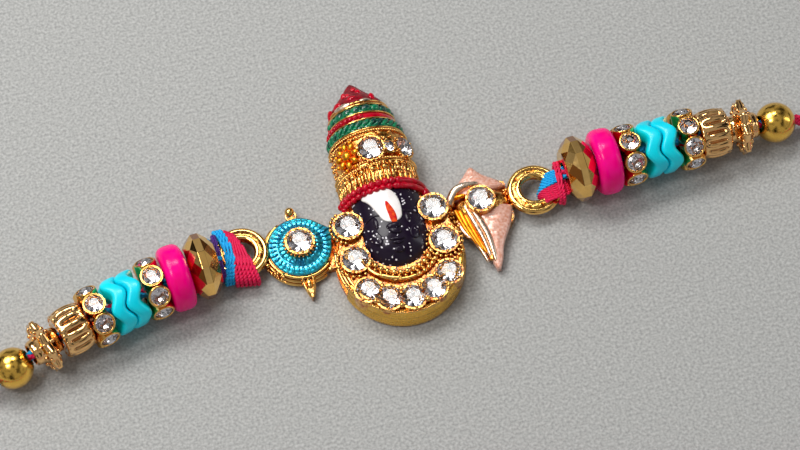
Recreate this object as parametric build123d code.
from build123d import *
import math
import os

# A rakhi: a thread bracelet with a cast and enamelled pendant and a short string of beads on each side.
# It lies on a table. X runs along the beads, Y to the tip of the pendant's crown and Z up, in millimetres.
# The origin is on the pendant's flat back, behind the middle of the face.

# Clearances
set_gap = 0.06            # between an enamel or a stone and the metal that it is set in
bead_gap = 0.16           # between neighbouring beads on the thread
loose_gap = 0.10          # between a thread and the metal that it goes round
ball_gap = 0.35           # between the last bead and the ball, which leans with the falling thread
far = 200.0               # size of the blocks that trim a piece to one side of a plane

# Pendant body, an oval slab under the face
body_half_width = 8.0
body_half_height = 8.9
body_centre_y = -3.6
body_top = 3.4
body_step = 0.22          # how far each layer of the side wall stands back from the one below
body_layers = 4

# Head and crown, round about one axis that runs along Y
head_axis_z = 0.6
face_radius = 5.1
face_enamel_thickness = 0.5
chin_centre_y = -1.7      # centre of the ball that ends the face at the chin
brow_y = 4.0              # where the face ends and the crown begins
crown_height = 17.5
crown_radius = 5.15
enamel_depth = 0.5
crown_root = 0.6          # how far the crown's metal starts inside the head
skirt_z = 0.35            # enamel on the crown's sides stops this far above the table

# Each tier of the crown: node name, or none for plain metal, then where it starts and ends as shares of
# the crown's height, and its radius at both ends as shares of the crown's radius
crown_tiers = [
    (None, 0.000, 0.220, 0.950, 0.970),
    (None, 0.225, 0.500, 0.985, 0.945),
    ("crown_band_green_lower", 0.512, 0.588, 0.930, 0.885),
    ("crown_band_red", 0.602, 0.652, 0.870, 0.830),
    ("crown_band_green_upper", 0.666, 0.732, 0.815, 0.760),
    (None, 0.738, 0.766, 0.765, 0.735),
]
# The red bud above the tiers: height and radius as shares of the crown's
bud_profile = [
    (0.775, 0.670),
    (0.820, 0.600),
    (0.880, 0.455),
    (0.940, 0.280),
    (0.980, 0.120),
]
bud_tip_share = 2.2       # the spike's tip is this many enamel depths under the bud's tip
rib_count = 17            # upright ribs round the crown's lowest tier
rib_radius = 0.24
rib_arc = 164.0           # degrees that the ribs spread over
rib_foot = 1.15           # where the ribs start, from the brow
brow_row_radius = 0.36    # each of the two red rows over the brow
brow_row_pitch = 0.61
brow_band_foot = 1.7      # height at which the rows end beside the ears

# Marks on the forehead, as plan outlines in shares of the face's radius
mark_thickness = 0.22
white_mark = [(-0.62, 0.69), (0.12, 0.69), (0.26, 0.34), (0.17, -0.12), (-0.22, -0.12), (-0.42, 0.46)]
red_mark = [(-0.04, 0.44), (0.03, 0.20), (0.11, -0.02), (0.03, -0.20), (-0.08, -0.04), (-0.08, 0.20)]

# Collar under the chin: two arcs of wire about one centre
collar_centre_y = -2.6
collar_rows = [(4.35, 0.42), (5.25, 0.34)]   # arc radius, wire radius

# Stones, each a round brilliant
ear_stone = 3.0
row_stone = 2.7
row_stones = 5
row_radius = 6.95         # the lower stones lie on this arc about the body's centre
row_pitch = 23.7          # degrees between them
ear_place = (5.43, 0.80)
shoulder_place = (5.64, -3.91)
cup_wall = 0.42
cup_top = 4.05
row_cup_top = 3.95
table_share = 0.58        # a stone's table, crown and pavilion as shares of its diameter
crown_share = 0.16
girdle_share = 0.04
pavilion_share = 0.36
culet_share = 0.08
throat_share = 0.16
stone_sides = 8

# Crown stones: node name, diameter, degrees round from the front
crown_stone_list = [
    ("crown_stone_centre", 2.7, -3.0),
    ("crown_stone_small", 1.4, 22.5),
    ("crown_stone_side", 2.4, 47.0),
]
crown_stone_height = 0.325   # along the crown, as a share of its height
crown_stone_lift = 0.30
crown_cup_depth = 1.3
rosette_turn = -36.0
rosette_petals = 7
rosette_ball = 0.52
rosette_middle_ball = 0.60
rosette_ring = 0.95

# Disc emblem on the left
disc_centre = (-11.65, 0.60)
disc_radius = 4.05
disc_rim_z = 1.55
disc_peak_z = 2.45        # height of the metal cone at the stone's cup
disc_enamel_thickness = 0.48
disc_bezel = 0.12         # plain metal left round the enamel
disc_stone = 2.9
disc_cup_top = 3.35
disc_ribs = 30
disc_rib_width = 0.30
disc_rib_lift = 0.14
disc_beak = 4.70          # the disc's corner beside the ear, from its centre
disc_beak_turn = 18.0
disc_foot_start = 3.2     # the flame under the disc, from its centre
disc_foot_reach = 6.9
disc_foot_width = 2.3
disc_foot_height = 1.25
disc_knob_place = (-0.10, 5.25)
disc_knob_radius = 0.85
disc_stem_width = 0.9

# Shell emblem on the right, its corners as offsets from the centre with the sag of the edge that follows
shell_centre = (11.75, 0.70)
shell_outline = [
    (-3.75, 1.80, 0.25),
    (0.05, 5.65, 0.35),
    (3.55, 2.75, 0.0),
    (3.65, -2.40, 0.45),
    (-0.10, -8.60, 0.70),
    (-2.90, -2.80, 0.20),
]
shell_plate = 1.35
shell_rim = 0.40          # bare metal left round the enamel
shell_enamel_thickness = 0.50
shell_dome = (3.55, 2.25, 1.95)
shell_dome_z = 1.20
shell_stone = 2.9
shell_stone_place = (-0.22, 0.05)
shell_cup_top = 3.45
shell_ribs = 4
shell_rib_radius = 0.34
shell_rib_start = (-2.85, 0.55)
shell_rib_step = (0.72, -0.52)
shell_rib_end = (-0.62, -7.55)
shell_rib_end_step = (0.26, 0.34)
shell_rib_sag = 0.55

# Necks that join the emblems to the body, each from the edge of its emblem: place and size along Y
neck_height = 1.2
neck_length = 2.6
left_neck = (-1.0, 4.0)
right_neck = (0.4, 3.2)

# Rings at both ends of the casting, each just beyond its emblem
ring_outer = 3.15
ring_wire = 0.75
ring_z = 1.70
ring_stand_off = 0.05
lug_radius = 1.15
ring_left = (disc_centre[0] - disc_radius - ring_stand_off - ring_outer, 1.50)
ring_right = (shell_centre[0] + shell_outline[3][0] + ring_stand_off + ring_outer, 1.05)

# Thread
thread_radius = 0.70
bore_radius = 1.35
ball_bore_radius = 0.95
cord_radius = 0.80
band_thickness = 0.55     # the thread's flat turns round the left ring
band_width = 1.30
band_places = [("left_hitch_blue", -2.05), ("left_hitch_magenta", -0.45)]   # from the ring's centre
leg_radius = 0.46         # the two strands over the rim of the right ring
leg_spread = 0.50
leg_rise = 0.35           # how much the legs climb from the ring to the first bead
bar_thickness = 0.30
bar_half_length = 2.95

# Beads
faceted_diameter = 8.3
faceted_length = 3.7
faceted_face = 5.6        # across the flat ends
faceted_belt = 1.0        # length of the middle belt
facet_count = 12
pink_diameter = 8.4
pink_length = 3.1
pink_round = 1.35
rondelle_diameter = 7.7
rondelle_stones = 8
rondelle_stone = 2.25
rondelle_cup_wall = 0.26
rondelle_cup_lip = 0.10   # how far a cup stands over its stone's girdle
rondelle_core = 5.0
rondelle_core_length = 1.9
wavy_diameter = 7.1
wavy_thickness = 1.85
wavy_depth = 0.40         # how far the wave goes to each side
wavy_waves = 5
wavy_steps = 8            # straight steps in one wave
wavy_edge = 0.42
ribbed_diameter = 6.2
ribbed_length = 3.7
ribbed_ribs = 14
ribbed_rib_width = 0.62
ribbed_rib_height = 0.28
ribbed_end_ring = 0.34
spacer_diameter = 7.3
spacer_length = 3.8
spacer_hub = 3.4
spacer_flange = 5.9
spacer_thickness = 1.0
spacer_petals = 10
petal_root = 0.6          # how far a petal starts inside the flange
ball_diameter = 5.1

# The thread's route from the ring outwards, points chosen by hand: X and Y from the ring's centre, then
# the height, which stands each bead on the table
left_route = [
    (-2.78, -1.05, 3.52),
    (-4.70, -1.68, faceted_diameter / 2 + 0.06),
    (-9.70, -2.75, pink_diameter / 2 + 0.03),
    (-20.70, -5.45, rondelle_diameter / 2 + 0.05),
    (-27.70, -7.95, spacer_diameter / 2 + 0.16),
    (-36.50, -11.20, 1.25),
]
right_route = [
    (3.70, 0.27, 3.75),
    (5.20, 0.32, faceted_diameter / 2 + 0.06),
    (9.90, 0.53, pink_diameter / 2 + 0.03),
    (20.80, 1.21, rondelle_diameter / 2 + 0.05),
    (28.20, 1.17, spacer_diameter / 2 + 0.16),
    (37.60, 1.37, 1.25),
]
left_first_bead = 2.60    # along the route from its start to the middle of the first bead
right_first_bead = 2.00

# Beads from the ring outwards: node name, kind, and degrees that its hole is turned from X, left and right
bead_row = [
    ("faceted_bead", "faceted", 4.5, 3.0),
    ("pink_bead", "pink", 7.0, 1.5),
    ("inner_rondelle", "rondelle", 9.5, 3.5),
    ("wavy_disc_inner", "wavy", 12.5, 5.0),
    ("wavy_disc_outer", "wavy", 13.5, 5.0),
    ("outer_rondelle", "rondelle", 16.0, 3.5),
    ("ribbed_bead", "ribbed", 19.0, 1.0),
    ("flanged_spacer", "spacer", 23.0, -2.0),
    ("ball_bead", "ball", 20.0, 1.0),
]

# The tie cord's route on the table between the two runs that leave the balls, points chosen by hand
cord_route = [
    (-58.00, -16.00, cord_radius),
    (-56.60, -22.80, cord_radius),
    (-49.60, -28.40, cord_radius),
    (-36.50, -30.60, cord_radius),
    (-19.00, -31.60, cord_radius),
    (0.50, -34.90, 1.75),
    (11.30, -37.20, 1.75),
    (27.50, -41.00, cord_radius),
    (41.80, -43.40, cord_radius),
    (51.20, -36.20, cord_radius),
    (57.40, -24.00, cord_radius),
    (60.00, -11.40, cord_radius),
    (61.00, -0.90, cord_radius),
]
knot_run = 6              # the knot sits on the run between these two points of the list
knot_radius = 1.72
knot_lobe = 1.45
knot_lobes = 3


# Shared shapes

def along_y(radius, start, end, depth=0.0):
    """A bar of round section about the head's axis, thinner by depth."""
    length = end - start
    bar = Cylinder(radius - depth, length, rotation=(90, 0, 0))
    return Pos(0, (start + end) / 2, head_axis_z) * bar


def above(height):
    """Everything above a height, as a large block."""
    return Pos(0, 0, height + far / 2) * Box(far, far, far)


def revolve_about_head(points):
    """Turns an outline of (y, radius) points about the head's axis."""
    outline = make_face(Polyline([(radius, y) for y, radius in points], close=True))
    turned = revolve(outline, Axis.Y, 360)
    return Pos(0, 0, head_axis_z) * turned


def cut_stone(diameter):
    """A round brilliant with its girdle's top at z = 0: table, crown, girdle, pavilion and culet."""
    levels = [
        (crown_share, table_share),
        (0.0, 1.0),
        (-girdle_share, 1.0),
        (-girdle_share - pavilion_share, culet_share),
    ]
    sections = []
    for height, width in levels:
        polygon = RegularPolygon(diameter * width / 2, stone_sides)
        sections.append(Pos(0, 0, diameter * height) * polygon)
    return loft(sections, ruled=True)


def stone_cup(diameter, wall, foot):
    """The metal cup of a stone, reaching down by foot from the girdle."""
    rim = diameter * girdle_share
    height = foot + rim
    return Pos(0, 0, rim - height / 2) * Cylinder(diameter / 2 + wall, height)


def stone_seat(diameter):
    """The hole that a stone is set in: round at the girdle, coned under it."""
    radius = diameter / 2 + set_gap
    depth = diameter * (girdle_share + pavilion_share) + set_gap
    throat = diameter * throat_share
    top = Pos(0, 0, diameter / 2 - diameter * girdle_share - set_gap) * Cylinder(radius, diameter)
    cone_height = depth - diameter * girdle_share
    cone = Pos(0, 0, -diameter * girdle_share - cone_height / 2) * Cone(throat, radius, cone_height)
    return top + cone


def round_head(turn, radius, along):
    """A place on the head's round surface, with local Z pointing away from its axis."""
    return Pos(0, along, head_axis_z) * Rot(0, turn, 0) * Pos(0, 0, radius)


# Stone places on the casting: node name, diameter, place of the girdle, cup depth

def row_place(number):
    """Place of one stone of the lower row, counted from the left."""
    turn = (number - (row_stones - 1) / 2) * row_pitch
    x = row_radius * math.sin(math.radians(turn))
    y = body_centre_y - row_radius * math.cos(math.radians(turn))
    return Pos(x, y, row_cup_top)


def stone_places():
    """Every stone of the pendant: name, diameter, location and depth of its cup."""
    places = []
    for side, sign in (("left", -1), ("right", 1)):
        ear = Pos(sign * ear_place[0], ear_place[1], cup_top)
        shoulder = Pos(sign * shoulder_place[0], shoulder_place[1], cup_top)
        places.append(("ear_stone_" + side, ear_stone, ear, cup_top - body_top / 2))
        places.append(("shoulder_stone_" + side, ear_stone, shoulder, cup_top - body_top / 2))
    for number in range(row_stones):
        places.append((f"row_stone_{number + 1}", row_stone, row_place(number), row_cup_top - body_top / 2))
    along = brow_y + crown_stone_height * crown_height
    for name, diameter, turn in crown_stone_list:
        seat = round_head(turn, crown_radius + crown_stone_lift, along)
        places.append((name, diameter, seat, crown_cup_depth))
    disc = Pos(disc_centre[0], disc_centre[1], disc_cup_top)
    places.append(("disc_stone", disc_stone, disc, disc_cup_top - disc_rim_z))
    shell_x = shell_centre[0] + shell_stone_place[0]
    shell_y = shell_centre[1] + shell_stone_place[1]
    shell = Pos(shell_x, shell_y, shell_cup_top)
    places.append(("shell_stone", shell_stone, shell, shell_cup_top - shell_plate))
    return places


# Pendant casting

def body_slab():
    """The oval slab, its side wall stepped in thin layers."""
    slab = None
    layer = body_top / body_layers
    for number in range(body_layers):
        inset = number * body_step
        oval = Ellipse(body_half_width - inset, body_half_height - inset)
        part = Pos(0, body_centre_y, 0) * extrude(oval, amount=layer * (number + 1))
        slab = part if slab is None else slab + part
    return slab


def head_ball(radius):
    """The face as a bar about the head's axis that ends in a ball at the chin."""
    bar = along_y(radius, chin_centre_y, brow_y)
    ball = Pos(0, chin_centre_y, head_axis_z) * Sphere(radius)
    return bar + ball


def tier_spans():
    """The crown's tiers in millimetres: name, start, end, radius at start, radius at end."""
    spans = []
    for name, start, end, radius_start, radius_end in crown_tiers:
        span = (
            name,
            brow_y + start * crown_height,
            brow_y + end * crown_height,
            radius_start * crown_radius,
            radius_end * crown_radius,
        )
        spans.append(span)
    return spans


def bud_points(depth=0.0):
    """The bud's outline from its foot to its tip, closed on the axis, or the spike's at a depth under it."""
    foot = brow_y + bud_profile[0][0] * crown_height
    tip = brow_y + crown_height - bud_tip_share * depth
    points = [(foot, 0.0)]
    for height, radius in bud_profile:
        y = brow_y + height * crown_height
        if y < tip - depth:
            points.append((y, radius * crown_radius - depth))
    points.append((tip, 0.0))
    return points


def crown_core():
    """The crown's metal: tiers, ridges between the enamels, and a spike inside the bud."""
    points = [(brow_y - crown_root, 0.0)]
    for name, start, end, radius_start, radius_end in tier_spans():
        points.append((start, radius_start))
        if name is not None:
            points.append((start, radius_start - enamel_depth))
            points.append((end, radius_end - enamel_depth))
        points.append((end, radius_end))
    points.append((points[-1][0] + set_gap, 0.0))
    tiers = revolve_about_head(points)
    spike = revolve_about_head(bud_points(enamel_depth + set_gap))
    foot = along_y(bud_profile[0][1] * crown_radius / 2, points[-1][0] - 1.0, points[-1][0] + 1.0)
    return tiers + spike + foot


def crown_ribs():
    """Upright ribs round the lowest tier."""
    _, start, end, radius_start, radius_end = tier_spans()[0]
    first = brow_y + rib_foot
    length = end - first
    ribs = []
    for number in range(rib_count):
        turn = -rib_arc / 2 + number * rib_arc / (rib_count - 1)
        place = round_head(turn, (radius_start + radius_end) / 2, (first + end) / 2)
        ribs.append(place * Cylinder(rib_radius, length, rotation=(90, 0, 0)))
    return ribs


def rosette():
    """A flower of small balls on the crown's left."""
    along = brow_y + crown_stone_height * crown_height
    centre = round_head(rosette_turn, crown_radius, along)
    balls = [centre * Sphere(rosette_middle_ball)]
    for place in PolarLocations(rosette_ring, rosette_petals):
        balls.append(centre * place * Sphere(rosette_ball))
    return balls


def collar():
    """Two arcs of wire under the chin."""
    arcs = []
    for radius, wire in collar_rows:
        ring = Pos(0, collar_centre_y, body_top) * Torus(radius, wire)
        lower = Pos(0, collar_centre_y - far / 2, 0) * Box(far, far, far)
        arcs.append(ring & lower)
    return arcs


def disc_cone(radius, rise):
    """A low cone over the disc emblem, from its rim up to the stone's cup."""
    inner = disc_stone / 2
    slope = (disc_peak_z - disc_rim_z) / (disc_radius - inner)
    rim_z = disc_rim_z - slope * (radius - disc_radius) + rise
    top_z = disc_rim_z + slope * disc_radius + rise
    outline = make_face(Polyline([(0, 0), (radius, 0), (radius, rim_z), (0, top_z)], close=True))
    cone = revolve(Plane.XZ * outline, Axis.Z, 360)
    return Pos(disc_centre[0], disc_centre[1], 0) * cone


def disc_prism(grow):
    """A prism over the disc's plan, a round with one corner beside the ear, grown all round."""
    radius = disc_radius + grow
    reach = disc_beak + grow
    tangent = math.degrees(math.acos(radius / reach))
    beak = [(0, 0)]
    for turn, length in ((-tangent, radius), (0, reach), (tangent, radius)):
        angle = math.radians(turn + disc_beak_turn)
        beak.append((length * math.cos(angle), length * math.sin(angle)))
    outline = Circle(radius) + make_face(Polyline(beak, close=True))
    return Pos(disc_centre[0], disc_centre[1], 0) * extrude(outline, amount=far)


def disc_emblem():
    """Metal of the disc emblem: plate, flame under it and knob over it."""
    plate = disc_cone(2 * disc_radius, 0.0) & disc_prism(disc_bezel)
    half = disc_foot_width / 2
    corners = [(-half, -disc_foot_start), (0, -disc_foot_reach), (half, -disc_foot_start)]
    flame = extrude(make_face(Polyline(corners, close=True)), amount=disc_foot_height)
    foot = Pos(disc_centre[0], disc_centre[1], 0) * flame
    knob_x = disc_centre[0] + disc_knob_place[0]
    knob_y = disc_centre[1] + disc_knob_place[1]
    knob = Pos(knob_x, knob_y, disc_knob_radius) * Sphere(disc_knob_radius)
    stem_length = disc_knob_place[1] - disc_radius + disc_knob_radius
    stem = Pos(knob_x, knob_y - stem_length / 2, 0) * Box(disc_stem_width, stem_length, 2 * neck_height)
    return (plate + foot + knob + stem) & above(0.0)


def shell_edge(inset=0.0):
    """Outline of the shell emblem, its edges drawn in by their sag."""
    corners = [(x, y) for x, y, _ in shell_outline]
    edges = []
    for number, (x, y, sag) in enumerate(shell_outline):
        x2, y2 = corners[(number + 1) % len(corners)]
        if sag == 0.0:
            edges.append(Line((x, y), (x2, y2)))
        else:
            edges.append(SagittaArc((x, y), (x2, y2), -sag))
    face = make_face(edges)
    if inset > 0:
        face = offset(face, -inset)
    return face


def shell_ribs_list(grow=0.0):
    """Curved ribs that run from the dome to the shell's lower tip."""
    ribs = []
    for number in range(shell_ribs):
        x1 = shell_rib_start[0] + number * shell_rib_step[0]
        y1 = shell_rib_start[1] + number * shell_rib_step[1]
        x2 = shell_rib_end[0] + number * shell_rib_end_step[0]
        y2 = shell_rib_end[1] + number * shell_rib_end_step[1]
        path = SagittaArc((x1, y1, shell_plate), (x2, y2, shell_plate), shell_rib_sag)
        section = Plane(origin=path @ 0, z_dir=path % 0) * Circle(shell_rib_radius + grow)
        ribs.append(sweep(section, path=path))
    return ribs


def shell_dome_solid(grow=0.0):
    """The shell's domed middle."""
    dome = scale(Sphere(1.0), by=tuple(size + grow for size in shell_dome))
    return Pos(0, 0, shell_dome_z) * dome


def shell_emblem():
    """Metal of the shell emblem: plate, dome and ribs."""
    plate = extrude(shell_edge(), amount=shell_plate)
    metal = plate + shell_dome_solid() + shell_ribs_list()
    return Pos(shell_centre[0], shell_centre[1], 0) * (metal & above(0.0))


def end_rings():
    """Both rings with the lugs that join them to the emblems."""
    parts = []
    for centre, sign in ((ring_left, -1), (ring_right, 1)):
        ring = Pos(centre[0], centre[1], ring_z) * Torus(ring_outer - ring_wire, ring_wire)
        lug_x = centre[0] - sign * (ring_outer + 0.15)
        lug = Pos(lug_x, centre[1], 0) * Cylinder(lug_radius, 2 * neck_height)
        hole = Pos(centre[0], centre[1], 0) * Cylinder(ring_outer - ring_wire, far)
        parts.append(ring)
        parts.append(lug & above(0.0) - hole)
    return parts


def emblem_necks():
    """Metal that joins the two emblems to the body."""
    left_x = disc_centre[0] + disc_radius
    right_x = shell_centre[0] + shell_outline[0][0]
    necks = []
    for x, (y, width) in ((left_x, left_neck), (right_x, right_neck)):
        necks.append(Pos(x, y, neck_height / 2) * Box(neck_length, width, neck_height))
    return necks


def pendant_casting():
    """All the pendant's metal as one solid, with seats for the stones."""
    face_core = head_ball(face_radius - face_enamel_thickness - set_gap)
    metal = body_slab() + face_core + crown_core()
    metal = metal + crown_ribs() + rosette() + collar()
    metal = metal + disc_emblem() + shell_emblem() + emblem_necks() + end_rings()
    places = stone_places()
    cups = [place * stone_cup(size, cup_wall, depth) for _, size, place, depth in places]
    seats = [place * stone_seat(size) for _, size, place, depth in places]
    return (metal + cups & above(0.0)) - seats


# Enamels

def cup_clearance():
    """Room that an enamel leaves for the cups that stand through it."""
    cups = []
    for _, size, place, depth in stone_places():
        cups.append(place * stone_cup(size, cup_wall + set_gap, depth))
        cups.append(place * Pos(0, 0, size / 2) * Cylinder(size / 2 + cup_wall + set_gap, size))
    return cups


def face_enamel():
    """The dark face, a shell over the core between brow and collar."""
    skin = head_ball(face_radius) - head_ball(face_radius - face_enamel_thickness)
    edge = brow_y - brow_row_radius - set_gap
    front = Pos(0, edge - far / 2, body_top + set_gap + far / 2) * Box(far, far, far)
    collar_room = [
        Pos(0, collar_centre_y, body_top) * Torus(radius, wire + set_gap)
        for radius, wire in collar_rows
    ]
    return (skin & front) - cup_clearance() - collar_room


def forehead_mark(outline, layer):
    """A thin raised mark on the forehead, cut from a shell over the face."""
    inner = face_radius + layer * (mark_thickness + set_gap) + set_gap
    top = brow_y - brow_row_radius - set_gap
    outer = along_y(inner + mark_thickness, chin_centre_y, top)
    shell = outer - along_y(inner, chin_centre_y - mark_thickness, top + mark_thickness)
    points = [(x * face_radius, y * face_radius) for x, y in outline]
    prism = extrude(make_face(Polyline(points, close=True)), amount=3 * face_radius)
    return shell & prism & above(body_top)


def crown_band(span):
    """One enamel band of the crown."""
    _, start, end, radius_start, radius_end = span
    inner = enamel_depth - set_gap
    points = [
        (start + set_gap, radius_start - inner),
        (start + set_gap, radius_start),
        (end - set_gap, radius_end),
        (end - set_gap, radius_end - inner),
    ]
    return revolve_about_head(points) & above(skirt_z)


def crown_bud():
    """The red enamel bud over the spike."""
    foot = brow_y + bud_profile[0][0] * crown_height
    shell = revolve_about_head(bud_points()) - revolve_about_head(bud_points(enamel_depth))
    mouth = bud_profile[0][1] * crown_radius - enamel_depth
    opening = along_y(mouth, foot - enamel_depth, foot + enamel_depth)
    return (shell - opening) & above(skirt_z)


def brow_band():
    """Two red rows over the brow."""
    rows = []
    crown_foot = crown_tiers[0][4] * crown_radius
    radius = max(crown_foot, face_radius - face_enamel_thickness) + set_gap + brow_row_radius
    for number in (0, 1):
        y = brow_y + number * brow_row_pitch
        rows.append(Pos(0, y, head_axis_z) * Torus(radius, brow_row_radius, rotation=(90, 0, 0)))
    return (rows[0] + rows[1]) & above(brow_band_foot)


def disc_enamel():
    """The disc's ribbed enamel, a low cone with one corner beside the ear."""
    lift = set_gap + disc_enamel_thickness
    skin = disc_cone(2 * disc_radius, lift) - disc_cone(2 * disc_radius + set_gap, set_gap)
    slope = math.atan((disc_peak_z - disc_rim_z) / (disc_radius - disc_stone / 2))
    inner = disc_stone / 2 + cup_wall + set_gap
    length = disc_radius - disc_bezel - inner - disc_rib_width / 2
    middle = disc_radius - disc_bezel - length / 2
    middle_z = disc_rim_z + (disc_radius - middle) * math.tan(slope) + lift
    bar = Rot(0, math.degrees(slope), 0) * Box(length, disc_rib_width, 2 * disc_rib_lift)
    ribs = []
    for number in range(disc_ribs):
        turn = Rot(0, 0, number * 360 / disc_ribs)
        ribs.append(Pos(disc_centre[0], disc_centre[1], middle_z) * turn * Pos(middle, 0, 0) * bar)
    return (skin & disc_prism(0.0)) + ribs - cup_clearance()


def shell_enamel(upper):
    """Rose enamel on one wing of the shell emblem, inside its metal rim."""
    base = shell_plate + set_gap
    wing = Pos(0, 0, base) * extrude(shell_edge(shell_rim), amount=shell_enamel_thickness)
    sign = 1 if upper else -1
    side = Pos(0, sign * far / 2, 0) * Box(far, far, far)
    wing = (wing & side) - shell_dome_solid(set_gap) - shell_ribs_list(set_gap)
    solids = wing.solids().sort_by(SortBy.VOLUME)
    return Pos(shell_centre[0], shell_centre[1], 0) * solids[-1] - cup_clearance()


# Beads, each about local X and centred on the thread

def lying(solid):
    """Turns a shape made about Z so that it lies about X."""
    return Rot(0, 90, 0) * solid


def faceted_bead():
    """A gold bead cut in three belts of flat facets."""
    radius = faceted_diameter / 2
    half = faceted_length / 2
    slope = (radius - faceted_face / 2) / (half - faceted_belt / 2)
    wide = faceted_face / 2 + slope * faceted_length
    belt = extrude(RegularPolygon(radius, facet_count), amount=half, both=True)
    turned = Rot(0, 0, 180 / facet_count)
    small = RegularPolygon(faceted_face / 2, facet_count)
    large = RegularPolygon(wide, facet_count)
    upper = loft([Pos(0, 0, -half) * turned * large, Pos(0, 0, half) * turned * small], ruled=True)
    lower = loft([Pos(0, 0, -half) * turned * small, Pos(0, 0, half) * turned * large], ruled=True)
    bore = Cylinder(bore_radius, faceted_length * 2)
    return lying((belt & upper & lower) - bore)


def pink_bead():
    """A rounded glossy disc."""
    disc = Cylinder(pink_diameter / 2, pink_length)
    rims = disc.edges().filter_by(GeomType.CIRCLE)
    disc = fillet(rims, pink_round)
    return lying(disc - Cylinder(bore_radius, pink_length * 2))


def rondelle():
    """A ring of stone cups on a short tube."""
    cup = rondelle_stone / 2 + rondelle_cup_wall
    metal = Cylinder(rondelle_core / 2, rondelle_core_length)
    cups = []
    seats = []
    for number in range(rondelle_stones):
        turn = Rot(0, 0, number * 360 / rondelle_stones) * Rot(0, 90, 0)
        reach = rondelle_diameter / 2 - rondelle_stone * crown_share
        height = reach + rondelle_cup_lip
        cups.append(turn * Pos(0, 0, height / 2) * Cylinder(cup, height))
        seats.append(turn * Pos(0, 0, reach) * stone_seat(rondelle_stone))
    metal = metal + cups - seats
    return lying(metal - Cylinder(bore_radius, rondelle_diameter))


def rondelle_stone_ring():
    """The rondelle's stones, each a loose solid in its cup."""
    reach = rondelle_diameter / 2 - rondelle_stone * crown_share
    stones = []
    for number in range(rondelle_stones):
        turn = Rot(0, 0, number * 360 / rondelle_stones) * Rot(0, 90, 0)
        stones.append(lying(turn * Pos(0, 0, reach) * cut_stone(rondelle_stone)))
    return stones


def wavy_disc():
    """A turquoise washer whose rim waves to and fro, closed from flat steps."""
    radius = wavy_diameter / 2
    half = wavy_thickness / 2
    section = [
        (bore_radius, -half),
        (radius - wavy_edge, -half),
        (radius, -half + wavy_edge),
        (radius, half - wavy_edge),
        (radius - wavy_edge, half),
        (bore_radius, half),
    ]
    steps = wavy_waves * wavy_steps
    rings = []
    for step in range(steps):
        angle = 2 * math.pi * step / steps
        shift = wavy_depth * math.sin(wavy_waves * angle)
        ring = [Vector(r * math.cos(angle), r * math.sin(angle), z + shift) for r, z in section]
        rings.append(ring)
    faces = []
    for step in range(steps):
        here = rings[step]
        there = rings[(step + 1) % steps]
        for corner in range(len(section)):
            following = (corner + 1) % len(section)
            a, b = here[corner], here[following]
            c, d = there[following], there[corner]
            faces.append(Face(Wire.make_polygon([a, b, c])))
            faces.append(Face(Wire.make_polygon([a, c, d])))
    return lying(Solid(Shell(faces)))


def ribbed_bead():
    """A barrel with raised ribs along it and a ring of metal at each end."""
    radius = ribbed_diameter / 2
    slab = Cylinder(radius + 1, ribbed_length)
    metal = Sphere(radius - ribbed_rib_height)
    for number in range(ribbed_ribs // 2):
        disc = Cylinder(radius, ribbed_rib_width, rotation=(90, 0, 0))
        metal = metal + Rot(0, 0, number * 360 / ribbed_ribs) * disc
    metal = metal & slab
    for sign in (-1, 1):
        end = sign * (ribbed_length / 2 - ribbed_end_ring)
        metal = metal + Pos(0, 0, end) * Torus(radius * 0.80, ribbed_end_ring)
    return lying(metal - Cylinder(bore_radius, ribbed_length * 2))


def flanged_spacer():
    """A hub with a flange of pointed petals."""
    half = spacer_length / 2
    hub = spacer_hub / 2
    flange = spacer_flange / 2
    thick = spacer_thickness / 2
    outline = [(0, -half), (hub * 0.92, -half), (hub, -half * 0.72), (hub, -half * 0.55), (flange, -thick)]
    outline = outline + [(x, -z) for x, z in reversed(outline)]
    metal = revolve(Plane.XZ * make_face(Polyline(outline, close=True)), Axis.Z, 360)
    width = math.pi * flange / spacer_petals
    tip = spacer_diameter / 2
    root = flange - petal_root
    side = flange - petal_root / 6
    kite = make_face(Polyline([(root, 0), (side, -width), (tip, 0), (side, width)], close=True))
    petals = []
    for number in range(spacer_petals):
        petal = extrude(kite, amount=thick, both=True)
        petals.append(Rot(0, 0, number * 360 / spacer_petals) * petal)
    return lying(metal + petals - Cylinder(bore_radius, spacer_length * 2))


def ball_bead():
    """A smooth drilled ball."""
    return lying(Sphere(ball_diameter / 2) - Cylinder(ball_bore_radius, ball_diameter * 2))


bead_makers = {
    "faceted": faceted_bead,
    "pink": pink_bead,
    "rondelle": rondelle,
    "wavy": wavy_disc,
    "ribbed": ribbed_bead,
    "spacer": flanged_spacer,
    "ball": ball_bead,
}
bead_lengths = {
    "faceted": faceted_length,
    "pink": pink_length,
    "rondelle": rondelle_stone + 2 * rondelle_cup_wall,
    "wavy": wavy_thickness,
    "ribbed": ribbed_length,
    "spacer": spacer_length,
    "ball": 2 * math.sqrt((ball_diameter / 2) ** 2 - ball_bore_radius ** 2),
}


def bead_spacing(kind, following):
    """Distance along the thread between the middles of two neighbouring beads."""
    distance = (bead_lengths[kind] + bead_lengths[following]) / 2 + bead_gap
    if (kind == "wavy") != (following == "wavy"):
        distance += wavy_depth
    if following == "ball":
        distance += ball_gap - bead_gap
    return distance


# Thread

def smooth_path(points):
    """Straight runs joined by arcs as large as the runs allow, with the radii."""
    points = [Vector(*point) for point in points]
    radii = []
    for before, here, after in zip(points, points[1:], points[2:]):
        turn = math.radians((here - before).get_angle(after - here))
        shorter = min((here - before).length, (after - here).length)
        radii.append(0.45 * shorter / math.tan(turn / 2))
    return FilletPolyline(*points, radius=radii), radii


def tube(path, radius):
    """A round thread along a path."""
    section = Plane(origin=path @ 0, z_dir=path % 0) * Circle(radius)
    return sweep(section, path=path)


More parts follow.
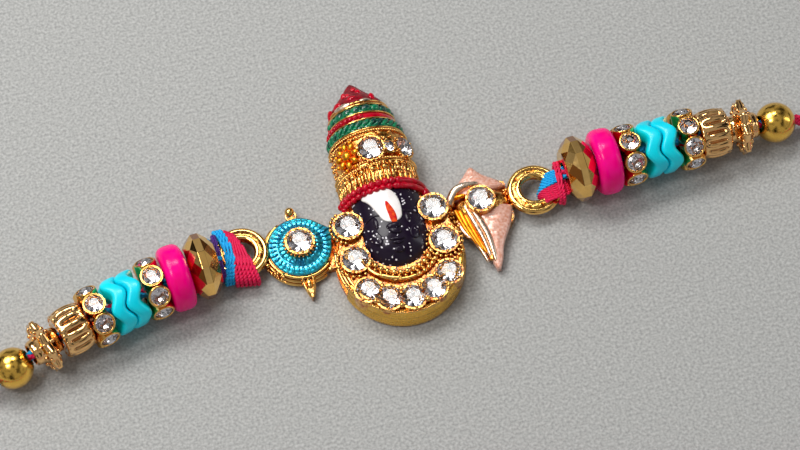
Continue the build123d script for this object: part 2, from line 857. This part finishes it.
def place_on(path, distance, turn, follow):
    """A bead's place on the thread: level and turned from X, or along the thread where it follows it."""
    point = path.position_at(distance, position_mode=PositionMode.LENGTH)
    place = Pos(point.X, point.Y, point.Z)
    if not follow:
        return place * Rot(0, 0, turn)
    ahead = path.tangent_at(distance, position_mode=PositionMode.LENGTH)
    heading = math.degrees(math.atan2(ahead.Y, ahead.X))
    pitch = math.degrees(math.asin(ahead.Z))
    return place * Rot(0, 0, heading) * Rot(0, -pitch, 0)


def from_ring(ring, route):
    """A route's points, moved from its ring's centre to the pendant's frame."""
    return [(ring[0] + x, ring[1] + y, z) for x, y, z in route]


def bead_side(side, route, first, turn_column):
    """All the beads of one side, with the thread's path and the length that they take up."""
    path, _ = smooth_path(route)
    parts = []
    distance = first
    previous = None
    for row in bead_row:
        name, kind = row[0], row[1]
        if previous is not None:
            distance += bead_spacing(previous, kind)
        place = place_on(path, distance, row[turn_column], kind == "ball")
        parts.append((f"{side}_{name}", [place * bead_makers[kind]()]))
        if kind == "rondelle":
            stones = [place * stone for stone in rondelle_stone_ring()]
            parts.append((f"{side}_{name}_stones", stones))
        previous = kind
    return parts, path, distance + bead_lengths["ball"] / 2


def strand(path, end):
    """The thread through one side's beads, up to the outer mouth of the ball."""
    point = path.position_at(end, position_mode=PositionMode.LENGTH)
    ahead = path.tangent_at(end, position_mode=PositionMode.LENGTH)
    whole = tube(path, thread_radius)
    beyond = Plane(origin=point, z_dir=ahead)
    return split(whole, bisect_by=beyond, keep=Keep.BOTTOM), point, ahead


def left_hitch():
    """Flat turns of thread round the left ring, one of each colour."""
    parts = []
    for name, offset_x in band_places:
        edge = max(abs(offset_x) - band_width / 2, 0.0)
        chord = math.sqrt(ring_outer ** 2 - edge ** 2)
        inner_width = 2 * (chord + loose_gap)
        inner_height = 2 * (ring_wire + loose_gap)
        outer_width = inner_width + 2 * band_thickness
        outer_height = inner_height + 2 * band_thickness
        outer = RectangleRounded(outer_width, outer_height, band_thickness * 2)
        inner = RectangleRounded(inner_width, inner_height, band_thickness)
        loop = extrude(Plane.YZ * (outer - inner), amount=band_width / 2, both=True)
        parts.append((name, [Pos(ring_left[0] + offset_x, ring_left[1], ring_z) * loop]))
    return parts


def right_hitch(start):
    """Two legs of thread over the rim of the right ring, and the turn that holds them."""
    top = ring_z + ring_wire + loose_gap + leg_radius
    inside = ring_right[0] + ring_outer - 2 * ring_wire - leg_radius - 2 * loose_gap
    parts = []
    for name, sign in (("right_hitch_blue", 1), ("right_hitch_magenta", -1)):
        y = ring_right[1] + sign * leg_spread
        points = [(inside, y, ring_z), (inside, y, top), (start[0] - bar_thickness, y, top + leg_rise)]
        path = FilletPolyline(*[Vector(*point) for point in points], radius=ring_wire)
        parts.append((name, [tube(path, leg_radius)]))
    bar_x = ring_right[0] + ring_outer + loose_gap + bar_thickness / 2
    height = top - leg_radius
    bar = Pos(bar_x, ring_right[1], height / 2) * Box(bar_thickness, 2 * bar_half_length, height)
    bar = fillet(bar.edges().filter_by(Axis.Z), bar_thickness * 0.45)
    parts.append(("right_hitch_bar", [bar]))
    return parts


def tie_cord(left_point, left_ahead, right_point, right_ahead):
    """The cord that closes the loop on the table, from one ball round to the other."""
    left_drop = (left_point.Z - cord_radius) / -left_ahead.Z
    right_drop = (right_point.Z - cord_radius) / -right_ahead.Z
    first = left_point + left_ahead * left_drop
    last = right_point + right_ahead * right_drop
    points = [tuple(left_point), tuple(first)] + cord_route + [tuple(last), tuple(right_point)]
    path, radii = smooth_path(points)
    print("cord points", [tuple(round(value, 2) for value in point) for point in points])
    print("cord radii", [round(radius, 1) for radius in radii])
    print("cord length", round(path.length, 2))
    return tube(path, cord_radius)


def tie_knot():
    """The knot where the cord's ends are joined."""
    before = Vector(*cord_route[knot_run - 1])
    after = Vector(*cord_route[knot_run])
    middle = (before + after) * 0.5
    place = Plane(origin=middle, z_dir=after - before)
    knot = None
    for number in range(knot_lobes):
        shift = (number - (knot_lobes - 1) / 2) * knot_lobe
        lobe = place * Pos(0, 0, shift) * Sphere(knot_radius)
        knot = lobe if knot is None else knot + lobe
    return knot - place * Cylinder(cord_radius + loose_gap, far)


# Assembly

def all_parts():
    """Every node with its solids."""
    parts = [("pendant_casting", [pendant_casting()])]
    parts.append(("face_enamel", [face_enamel()]))
    parts.append(("forehead_mark_white", [forehead_mark(white_mark, 0)]))
    parts.append(("forehead_mark_red", [forehead_mark(red_mark, 1)]))
    for span in tier_spans():
        if span[0] is not None:
            parts.append((span[0], [crown_band(span)]))
    parts.append(("crown_bud_enamel", [crown_bud()]))
    parts.append(("brow_band", [brow_band()]))
    parts.append(("disc_enamel", [disc_enamel()]))
    parts.append(("shell_enamel_upper", [shell_enamel(True)]))
    parts.append(("shell_enamel_lower", [shell_enamel(False)]))
    for name, size, place, _ in stone_places():
        parts.append((name, [place * cut_stone(size)]))
    left_points = from_ring(ring_left, left_route)
    right_points = from_ring(ring_right, right_route)
    left_beads, left_path, left_end = bead_side("left", left_points, left_first_bead, 2)
    right_beads, right_path, right_end = bead_side("right", right_points, right_first_bead, 3)
    left_solid, left_point, left_ahead = strand(left_path, left_end)
    right_solid, right_point, right_ahead = strand(right_path, right_end)
    cord = tie_cord(left_point, left_ahead, right_point, right_ahead)
    parts = parts + left_beads + right_beads
    parts = parts + left_hitch() + right_hitch(right_points[0])
    parts.append(("left_strand", [left_solid]))
    parts.append(("right_strand", [right_solid]))
    parts.append(("tie_cord", [cord]))
    parts.append(("tie_knot", [tie_knot()]))
    return parts


def write_parts():
    """Writes one STEP file for each node."""
    os.makedirs("parts", exist_ok=True)
    for name, shapes in all_parts():
        solids = []
        for shape in shapes:
            solids.extend(shape.solids())
        node = solids[0] if len(solids) == 1 else Compound(children=solids)
        export_step(node, f"parts/{name}.step")


write_parts()
